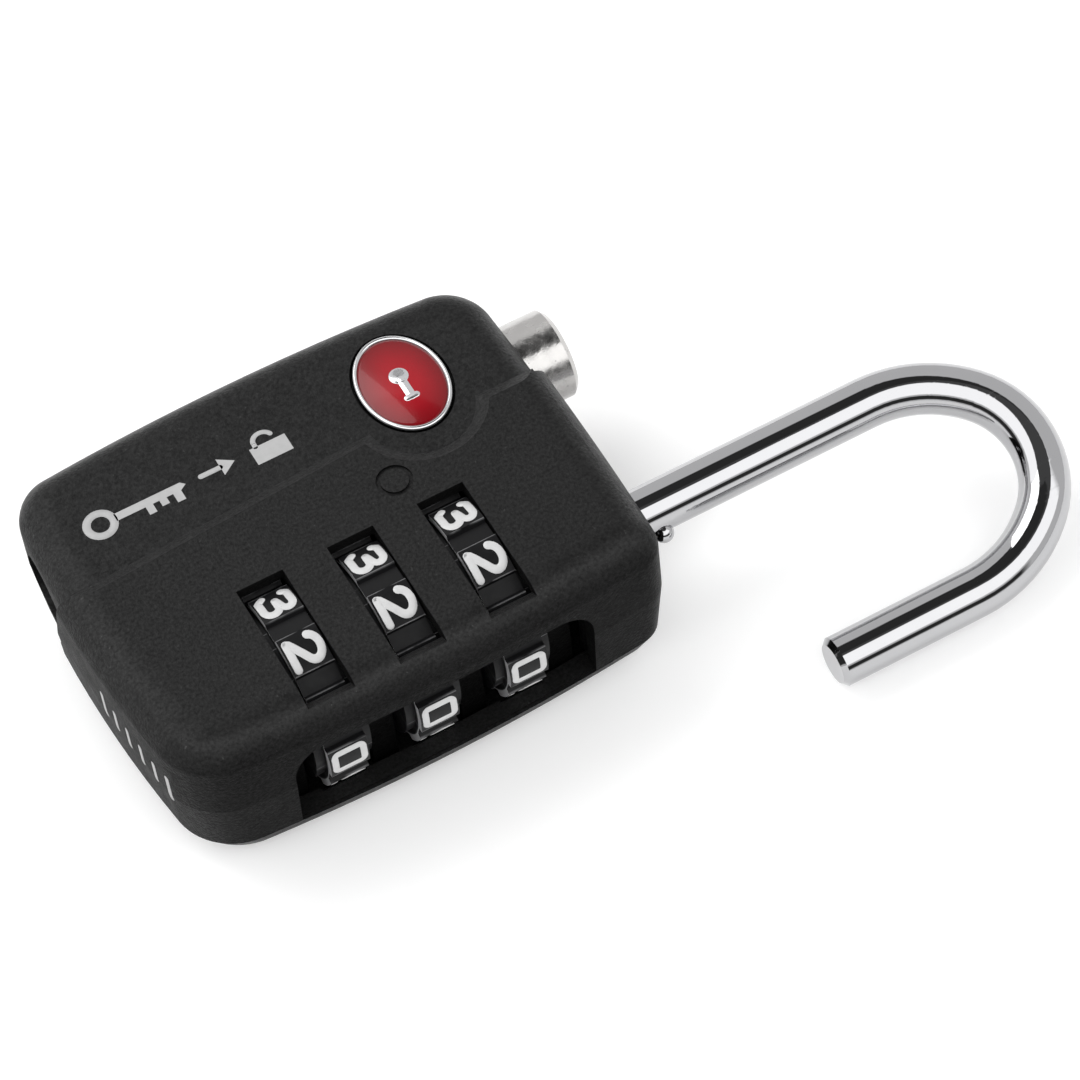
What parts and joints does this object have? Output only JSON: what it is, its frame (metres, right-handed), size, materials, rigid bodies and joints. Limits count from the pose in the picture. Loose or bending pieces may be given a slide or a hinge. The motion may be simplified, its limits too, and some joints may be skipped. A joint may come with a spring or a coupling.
{
  "type": "combination padlock",
  "caption": "Small travel padlock with three digit dials, a key override, a red oval badge and a wire shackle, shown open and swung aside.",
  "frame": {"origin": "on the flat back face, under the middle of the case", "axes": "+X the way the shackle points, +Y from the dials towards the key cylinder, +Z out of the front face"},
  "size_m": [0.0553, 0.0309, 0.0121],
  "materials": {
    "shell": "fine-grained matte",
    "enamel": "glossy",
    "bright": "polished",
    "dial": "satin black over bare metal flanks",
    "steel": "plain",
    "spring_steel": "plain",
    "frame": "moulded",
    "shackle": "mirror",
    "nickel": "cast and plated, satin",
    "brass": "plain"
  },
  "bodies": {
    "root": {"front_shell": "shell", "back_cover": "shell", "case_pins": "steel", "badge_rim": "bright", "badge_enamel": "enamel", "badge_keyhole": "bright", "dial_frame": "frame", "detent_spring": "spring_steel", "detent_rivets": "steel", "clutch_spring": "spring_steel", "shackle_spring": "spring_steel", "spring_seat": "steel", "guide_plate": "steel", "key_cylinder": "nickel", "barrel_bush": "frame", "barrel_spring": "spring_steel"},
    "spring_foot": {"shackle_foot": "steel"},
    "shackle": {"shackle": "shackle", "foot_clip": "spring_steel"},
    "dial_1": {"dial_1": "dial"},
    "dial_2": {"dial_2": "dial"},
    "dial_3": {"dial_3": "dial"},
    "sleeve_1": {"clutch_sleeve_1": "brass"},
    "sleeve_2": {"clutch_sleeve_2": "brass"},
    "sleeve_3": {"clutch_sleeve_3": "brass"},
    "washer": {"clutch_washer": "steel"},
    "plug": {"key_plug": "nickel", "key_wafers": "brass", "plug_clip": "spring_steel", "cam_pin": "steel"},
    "barrel": {"toe_barrel": "nickel"}
  },
  "joints": [
    {"name": "shackle_slide", "type": "slide", "parent": "root", "child": "spring_foot", "axis": [1, 0, 0], "range_m": [-0.0065, 0], "deforming": ["shackle_spring"]},
    {"name": "shackle_swivel", "type": "hinge", "parent": "spring_foot", "child": "shackle", "pos_m": [0, -0.0059, 0.0064], "axis": [1, 0, 0], "range_deg": [-200.6, 159.4]},
    {"name": "dial_1_turn", "type": "hinge", "parent": "root", "child": "dial_1", "pos_m": [0, -0.0059, 0.0064], "axis": [1, 0, 0], "continuous": true},
    {"name": "dial_2_turn", "type": "hinge", "parent": "root", "child": "dial_2", "pos_m": [0, -0.0059, 0.0064], "axis": [1, 0, 0], "continuous": true},
    {"name": "dial_3_turn", "type": "hinge", "parent": "root", "child": "dial_3", "pos_m": [0, -0.0059, 0.0064], "axis": [1, 0, 0], "continuous": true},
    {"name": "sleeve_1_slide", "type": "slide", "parent": "dial_1", "child": "sleeve_1", "axis": [-1, 0, 0], "range_m": [0, 0.0013]},
    {"name": "sleeve_2_slide", "type": "slide", "parent": "dial_2", "child": "sleeve_2", "axis": [-1, 0, 0], "range_m": [0, 0.0013]},
    {"name": "sleeve_3_slide", "type": "slide", "parent": "dial_3", "child": "sleeve_3", "axis": [-1, 0, 0], "range_m": [0, 0.0013]},
    {"name": "washer_slide", "type": "slide", "parent": "root", "child": "washer", "axis": [-1, 0, 0], "range_m": [0, 0.0013], "deforming": ["clutch_spring"]},
    {"name": "key_turn", "type": "hinge", "parent": "root", "child": "plug", "pos_m": [0, 0.0066, 0.0064], "axis": [1, 0, 0], "range_deg": [0, 90]},
    {"name": "barrel_retract", "type": "slide", "parent": "root", "child": "barrel", "axis": [-1, 0, 0], "range_m": [0, 0.003], "deforming": ["barrel_spring"]}
  ],
  "couplings": [
    {"joint": "sleeve_2_slide", "follows": "sleeve_1_slide", "ratio": 1},
    {"joint": "sleeve_3_slide", "follows": "sleeve_1_slide", "ratio": 1},
    {"joint": "washer_slide", "follows": "sleeve_1_slide", "ratio": 1},
    {"joint": "key_turn", "follows": "barrel_retract", "rad_per_m": 523.6}
  ]
}
